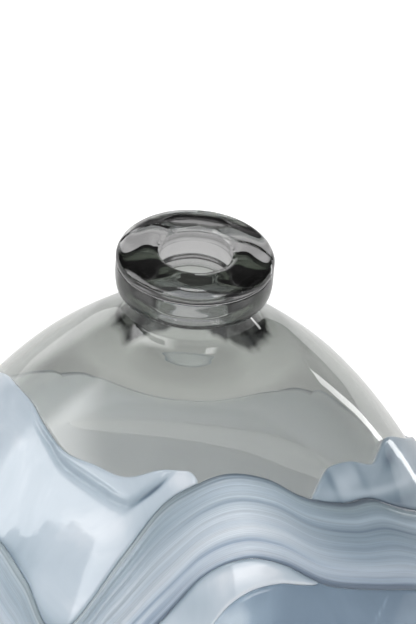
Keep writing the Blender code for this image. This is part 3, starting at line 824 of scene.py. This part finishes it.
# Opal crescents: thin sweeps of the same milky glass that hang under the ribbon's crests.
# They are whitest at the lower edge, where the milk gathered, and greyed by painted shade under the ribbon.
CRESCENTS = {
    "opal_crescent_front": ((-42, 36), {
        -42: 0.520, -30: 0.575, -20: 0.596, -8: 0.560, 2: 0.470, 10: 0.387, 17: 0.355,
        26: 0.348, 32: 0.361, 38: 0.378,
    }),
    "opal_crescent_back": ((132, 204), {
        132: 0.602, 144: 0.615, 156: 0.612, 168: 0.602, 180: 0.590, 192: 0.582, 204: 0.575,
    }),
}
CRESCENT_MARKS = [
    (20, 0.325, 9, 0.016, 0, 0.14), (4, 0.365, 8, 0.030, 0, -0.40), (30, 0.350, 5, 0.014, 0, -0.16),
    (170, 0.580, 16, 0.012, 0, 0.10),
]


def even_depth(thickness):
    """Gives the thickness function of a sheet that is equally thick all over."""
    return lambda turn, share, inset: thickness


def sweep_edges(span, table):
    """Edges of a crescent, as a function of the turn."""

    @lru_cache(maxsize=None)
    def edges(turn):
        """The ribbon's lower edge above, and the crescent's own sweep below, rounded off at its tips."""
        top = ribbon_edges(turn)[1] + SEAM_GAP / OUTLINE_LENGTH
        sweep = max(smooth_read(table, turn), top + TAIL_SHARE)
        to_tip = min(max(min((turn - span[0]) / TIP_TURN, (span[1] - turn) / LONG_TIP_TURN), 0), 1)
        return top, top + max((sweep - top) * math.sqrt(1 - (1 - to_tip) ** 2), TAIL_SHARE)

    return edges


SWEEP_ROWS = 56
CRESCENT_MILK = 0.95
# Painted shade along the crescent's top, under the ribbon.
UNDER_RIBBON_SHADE, UNDER_RIBBON_SHADE_REACH = 0.50, 0.0022
RIM_GAIN, RIM_REACH = 0.35, 0.0014
for node_name, (span, table) in CRESCENTS.items():
    crescent_edges = sweep_edges(span, table)

    def crescent_tone(turn, share, across):
        """The crescent's milk: painted shade under the ribbon, white along the lower edge."""
        top, bottom = crescent_edges(turn)
        shade_under_ribbon = UNDER_RIBBON_SHADE * math.exp(-((share - top) * OUTLINE_LENGTH / UNDER_RIBBON_SHADE_REACH) ** 2)
        rim = RIM_GAIN * math.exp(-((bottom - share) * OUTLINE_LENGTH / RIM_REACH) ** 2)
        return CRESCENT_MILK - shade_under_ribbon + rim + soft_marks(turn, share, CRESCENT_MARKS)

    columns = round((span[1] - span[0]) * SHEET_FINENESS)
    sweep_name = node_name.replace("crescent", "sweep")
    depth = even_depth(OPAL_THICKNESS)
    sweep = lay_sheet(sweep_name, span, crescent_edges, depth, crescent_tone, columns, SWEEP_ROWS)
    sweep.data.materials.append(opal_glass)
    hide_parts(node_name)
    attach(sweep, "root")


# Blue coat: cloudy blue-grey glass that covers the belly and the heel below the ribbon.
# It was dipped first, so its top edge shows as an arc under the crescents, and it ends above the foot.
COAT_THICKNESS = 0.0020
COAT_BOTTOM_SHARE = 0.975
COAT_MILK = 0.40
THREAD_MILK = 0.45
THREAD_WIDTH = 0.45
# Marks as for the lobes; the one at turn 45, just under the ribbon, is painted shade.
COAT_MARKS = [
    (15, 0.385, 8, 0.022, 0.0, 0.42), (8, 0.420, 7, 0.050, 0.0, 0.30),
    (40, 0.440, 20, 0.060, 0.0, -0.14), (45, 0.400, 12, 0.020, 0.003, -0.10),
    (55, 0.450, 14, 0.014, 0.003, 0.10),
]
THREAD_START, THREAD_END = (53.6, 0.413), (46.5, 0.440)


@lru_cache(maxsize=None)
def coat_edges(turn):
    """Upper edge under the ribbon or a crescent, and the dipped edge above the foot."""
    top = ribbon_edges(turn)[1]
    for span, table in CRESCENTS.values():
        for lap in (-FULL_TURN, 0, FULL_TURN):
            if span[0] <= turn + lap <= span[1]:
                top = sweep_edges(span, table)(turn + lap)[1]
    return top + SEAM_GAP / OUTLINE_LENGTH, COAT_BOTTOM_SHARE


def coat_tone(turn, share, across):
    """The coat's milk: lighter near the crescent's arc, with painted shade just under the ribbon and one
    white thread.
    """
    along = (share - THREAD_START[1]) / (THREAD_END[1] - THREAD_START[1])
    away = turn - THREAD_START[0] - (THREAD_END[0] - THREAD_START[0]) * along
    thread = 0.0
    if 0 < along < 1:
        thread = THREAD_MILK * math.exp(-(away / THREAD_WIDTH) ** 2) * math.sin(math.pi * along) ** 0.5
    return COAT_MILK + thread + soft_marks(turn, share, COAT_MARKS)


COAT_STOPS = {
    0.0: (84, 102, 121), 0.4: (108, 127, 147), 0.75: (146, 165, 182), 1.0: (200, 212, 222),
}
coat_colours = cloudy_colours(COAT_STOPS, scale=18, distortion=1.2, unevenness=0.26, drawn_out=0.4)
COAT_COLUMNS = 480
COAT_GLOW = (0.70, 0.76, 0.84, 1)
COAT_THROUGH = 0.35
COAT_RIPPLE = 0.0002
coat_depth = even_depth(COAT_THICKNESS)
coat = lay_sheet("dipped_coat", ALL_ROUND, coat_edges, coat_depth, coat_tone, COAT_COLUMNS, SHEET_ROWS)
blue_grey_glass = milky_glass("blue_grey_glass", coat_colours, COAT_GLOW, COAT_THROUGH, COAT_RIPPLE)
coat.data.materials.append(blue_grey_glass)
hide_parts("blue_coat")
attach(coat, "root")


# Stage: a wide pale floor that keeps the vase's shadow, under a plain white surround.
# Gloss mirrors a bright floor. Clear glass sees that floor bright behind the vase, with a painted shadow of
# the vase as a soft dark band across it, and bright far away, but nearly dark in front of the vase and
# under it; the dark under it is a painted shadow.
DARK_STUDIO = 0.07
REAR_FLOOR_LIGHT = 0.68
MIRRORED_FLOOR_LIGHT = 0.9
UNDER_LIGHT = 0.10
FAR_FLOOR_LIGHT = 0.5
FLOOR_LIFT = 0.45
FLOOR_SIZE = 12
FLOOR_COLOUR = (0.86, 0.86, 0.86, 1)
REAR_FLOOR = (0.08, 0.24)
FAR_FLOOR = (0.8, 1.4)
SHADOW_START, SHADOW_MIDDLE, SHADOW_END = 0.29, 0.37, 0.47
SHADOW_SHARE = 0.74
bpy.ops.mesh.primitive_plane_add(size=FLOOR_SIZE, location=(0, 0, 0))
floor = bpy.context.object
floor.name = "floor"
floor_paint = bpy.data.materials.new("floor_paint")
floor_paint.use_nodes = True
tree = floor_paint.node_tree
tree.nodes.clear()
white = (1, 1, 1, 1)
matt = add_node(tree, "BsdfDiffuse", {"Color": FLOOR_COLOUR})
lift = add_node(tree, "Emission", {"Color": white, "Strength": FLOOR_LIFT})
rays = add_node(tree, "LightPath", {}).outputs
place = add_node(tree, "TexCoord", {}).outputs["Object"]
behind = add_node(tree, "SeparateXYZ", {"Vector": place}).outputs["Y"]
away = add_node(tree, "VectorMath", {0: place}, operation="LENGTH").outputs["Value"]
seen = spread(tree, behind, *REAR_FLOOR, DARK_STUDIO, REAR_FLOOR_LIGHT, "SMOOTHSTEP")
# Painted shadow under the vase: the floor there is kept dim.
seen = reckon(tree, "MAXIMUM", seen, spread(tree, away, HEEL_RADIUS, BELLY_RADIUS, UNDER_LIGHT, 0.0))
seen = reckon(tree, "MAXIMUM", seen, spread(tree, away, *FAR_FLOOR, 0.0, FAR_FLOOR_LIGHT))
# Painted shadow of the vase on the floor: a soft dark band behind it, seen through clear glass.
into_shadow = spread(tree, behind, SHADOW_START, SHADOW_MIDDLE, 0.0, 1.0)
out_of_shadow = spread(tree, behind, SHADOW_MIDDLE, SHADOW_END, 1.0, 0.0)
painted_shadow = reckon(tree, "MINIMUM", into_shadow, out_of_shadow)
seen = reckon(tree, "MULTIPLY", seen, spread(tree, painted_shadow, 0.0, 1.0, 1.0, SHADOW_SHARE))
floor_light = add_node(tree, "Mix", {
    "Factor": rays["Is Transmission Ray"], "A": MIRRORED_FLOOR_LIGHT, "B": seen,
}).outputs["Result"]
mirrored = add_node(tree, "Emission", {"Color": white, "Strength": floor_light})
polished = reckon(tree, "MAXIMUM", rays["Is Glossy Ray"], rays["Is Transmission Ray"])
bright = add_node(tree, "AddShader", {0: matt.outputs[0], 1: lift.outputs[0]})
direct = add_node(tree, "MixShader", {
    0: rays["Is Camera Ray"], 1: matt.outputs[0], 2: bright.outputs[0],
})
paint = add_node(tree, "MixShader", {0: polished, 1: direct.outputs[0], 2: mirrored.outputs[0]})
add_node(tree, "OutputMaterial", {"Surface": paint.outputs[0]})
floor.data.materials.append(floor_paint)


# Surround: plain even light, white to the camera. Gloss sees a dark studio with bright panels in it:
# a wide one on the left with a gap, one at the right front, one behind and one overhead. Clear glass
# sees none of them, but a pale card in front and a pale horizon.
EVEN_LIGHT = 0.60
WIDE_PANEL_LIGHT = 5.2
FRONT_PANEL_LIGHT = 6.5
REAR_PANEL_LIGHT = 1.7
TOP_PANEL_LIGHT = 7.0
CARD_LIGHT = 0.55
GAP_RAGGEDNESS = 12.0
GAP_FLOOR_SLOPE, GAP_ROOF_SLOPE = 0.24, 0.6
world = bpy.data.worlds.new("studio")
bpy.context.scene.world = world
world.use_nodes = True
tree = world.node_tree
tree.nodes.clear()


def panel(*sides):
    """A lit area: the product of its sides. Each is an angle, where it starts and where it is full."""
    inside = 1.0
    for angle, start, full in sides:
        inside = reckon(tree, "MULTIPLY", inside, spread(tree, angle, start, full, 0.0, 1.0, "SMOOTHSTEP"))
    return inside


def lit(area, light):
    """Adds an area of the surround, as bright as light says."""
    return reckon(tree, "MULTIPLY", area, light)


sight = add_node(tree, "TexCoord", {}).outputs["Generated"]
way = add_node(tree, "SeparateXYZ", {"Vector": sight}).outputs
front = reckon(tree, "MULTIPLY", way["Y"], -1.0)
side = reckon(tree, "MULTIPLY", reckon(tree, "ARCTAN2", way["X"], front), math.degrees(1))
rise = reckon(tree, "MULTIPLY", reckon(tree, "ARCSINE", way["Z"], 0.0), math.degrees(1))
rough = add_node(tree, "TexNoise", {"Vector": sight, "Scale": 9, "Detail": 5}).outputs["Fac"]
ragged = reckon(tree, "MULTIPLY", reckon(tree, "SUBTRACT", rough, 0.5), GAP_RAGGEDNESS)
gap_floor = reckon(tree, "SUBTRACT", rise, reckon(tree, "MULTIPLY", side, GAP_FLOOR_SLOPE))
gap_roof = reckon(tree, "SUBTRACT", rise, reckon(tree, "MULTIPLY", side, GAP_ROOF_SLOPE))
gap_roof = reckon(tree, "ADD", gap_roof, ragged)
gap = panel((gap_floor, 24.0, 25.2), (gap_roof, 65.8, 64.6), (rise, 32.5, 31.0), (side, -40.0, -42.0))
wide_panel = panel((side, -112.0, -100.0), (side, -14.0, -44.0), (rise, 0.0, 5.0), (rise, 50.0, 33.0))
wide_panel = reckon(tree, "MULTIPLY", wide_panel, reckon(tree, "SUBTRACT", 1.0, gap))
front_panel = panel((side, 29.5, 30.5), (side, 54.0, 40.0), (rise, 26.0, 29.0), (rise, 50.0, 46.0))
rear_panel = panel((side, -134.0, -148.0), (rise, 22.0, 8.0))
top_panel = panel((rise, 80.0, 83.0))
card = panel((side, -60.0, -40.0), (side, 60.0, 40.0), (rise, 16.0, 26.0), (rise, 66.0, 54.0))
horizon = panel((rise, 12.0, 5.0))
outside = lit(wide_panel, WIDE_PANEL_LIGHT)
for area, light in (
    (front_panel, FRONT_PANEL_LIGHT), (rear_panel, REAR_PANEL_LIGHT), (top_panel, TOP_PANEL_LIGHT),
):
    outside = reckon(tree, "ADD", outside, lit(area, light))
through = reckon(tree, "ADD", lit(card, CARD_LIGHT), lit(horizon, FAR_FLOOR_LIGHT))
rays = add_node(tree, "LightPath", {}).outputs
studio_light = add_node(tree, "Mix", {
    "Factor": rays["Is Transmission Ray"], "A": outside, "B": through,
}).outputs["Result"]
studio_light = reckon(tree, "ADD", studio_light, DARK_STUDIO)
polished = reckon(tree, "MAXIMUM", rays["Is Glossy Ray"], rays["Is Transmission Ray"])
even = add_node(tree, "Background", {"Color": white, "Strength": EVEN_LIGHT})
studio = add_node(tree, "Background", {"Color": white, "Strength": studio_light})
backdrop = add_node(tree, "Background", {"Color": white, "Strength": 1})
lights = add_node(tree, "MixShader", {0: polished, 1: even.outputs[0], 2: studio.outputs[0]})
surround = add_node(tree, "MixShader", {
    0: rays["Is Camera Ray"], 1: lights.outputs[0], 2: backdrop.outputs[0],
})
add_node(tree, "OutputWorld", {"Surface": surround.outputs[0]})


# Lamps: soft boxes on the left, at the right front and behind, and a faint glow in the vase's middle
# that stands for the light the cloudy glass passes on. A tall strip behind on the right is seen only
# by gloss, as the bright streak down the right shoulder.
def soft_box(name, turn, rise_angle, distance, aim, width, height, power):
    """An area lamp at a turn round from the front and a rise above the floor's plane, in degrees."""
    way_round, up = math.radians(turn), math.radians(rise_angle)
    back = Vector((math.sin(way_round) * math.cos(up), -math.cos(way_round) * math.cos(up), math.sin(up)))
    bpy.ops.object.light_add(type="AREA", location=aim + back * distance)
    lamp = bpy.context.object
    lamp.name = name
    lamp.data.shape = "RECTANGLE"
    lamp.data.size = width
    lamp.data.size_y = height
    lamp.data.energy = power
    lamp.rotation_euler = back.to_track_quat("Z", "Y").to_euler()
    lamp.visible_camera = False
    lamp.visible_transmission = False
    lamp.visible_glossy = False
    return lamp


body_middle = Vector((0, 0, BELLY_HEIGHT + SHOULDER_HEIGHT / 2))
soft_box("left_soft_box", -62, 40, 1.2, body_middle, width=1.1, height=0.9, power=5.6)
soft_box("front_soft_box", 36, 41, 1.2, body_middle, width=0.6, height=0.6, power=3.5)
soft_box("back_soft_box", 180, 12, 1.4, body_middle, width=1.4, height=0.8, power=6)
GLOW_PLACE = (-0.025, -0.01, 0.12)
GLOW_RADIUS = 0.04
GLOW_POWER = 1.1
bpy.ops.object.light_add(type="POINT", radius=GLOW_RADIUS, location=GLOW_PLACE)
glow = bpy.context.object
glow.name = "inner_glow"
glow.data.energy = GLOW_POWER
glow.visible_camera = False
glow.visible_transmission = False
glow.visible_glossy = False
STRIP_TURN = 142
STRIP_AIM_RADIUS = 0.075
STRIP_AIM_HEIGHT = 0.186
strip_way = math.radians(STRIP_TURN)
strip_aim = Vector((math.cos(strip_way), math.sin(strip_way), 0)) * -STRIP_AIM_RADIUS
strip_aim += Vector((0, 0, STRIP_AIM_HEIGHT))
strip = soft_box("right_strip", STRIP_TURN, 0, 0.45, strip_aim, width=0.032, height=0.25, power=0.115)
strip.visible_glossy = True
strip.visible_diffuse = False


# Camera: looks down on the lip from the front, close enough to crop the belly, with a slight roll.
CAMERA_RISE = math.radians(32)
CAMERA_DISTANCE = 1.8
CAMERA_ROLL = math.radians(4.2)
PHOTO_WIDTH, PHOTO_HEIGHT = 416, 624
SEAM_PIXEL = (195.1, 262.0)
SEAM_RADIUS_PIXELS = 79.7
seam_centre = leaned(Vector((0, 0, LIP_SEAT_Z + BAND_HEIGHT)))
focal_pixels = SEAM_RADIUS_PIXELS * CAMERA_DISTANCE / LIP_RADIUS
offset = Vector((0, -math.cos(CAMERA_RISE), math.sin(CAMERA_RISE))) * CAMERA_DISTANCE
bpy.ops.object.camera_add(location=seam_centre + offset)
camera = bpy.context.object
looking = offset.to_track_quat("Z", "Y").to_matrix()
rolled = looking @ Matrix.Rotation(CAMERA_ROLL, 3, "Z")
right_of_centre = (SEAM_PIXEL[0] - PHOTO_WIDTH / 2) / focal_pixels
below_centre = (SEAM_PIXEL[1] - PHOTO_HEIGHT / 2) / focal_pixels
aim = Vector((right_of_centre, -below_centre, -1)).normalized()
tilt = aim.rotation_difference(Vector((0, 0, -1))).to_matrix()
camera.rotation_euler = (rolled @ tilt).to_euler()
camera.data.sensor_width = 36
camera.data.lens = focal_pixels * camera.data.sensor_width / PHOTO_HEIGHT
camera.data.clip_end = 50
bpy.context.scene.camera = camera
bpy.context.scene.view_settings.view_transform = "Standard"
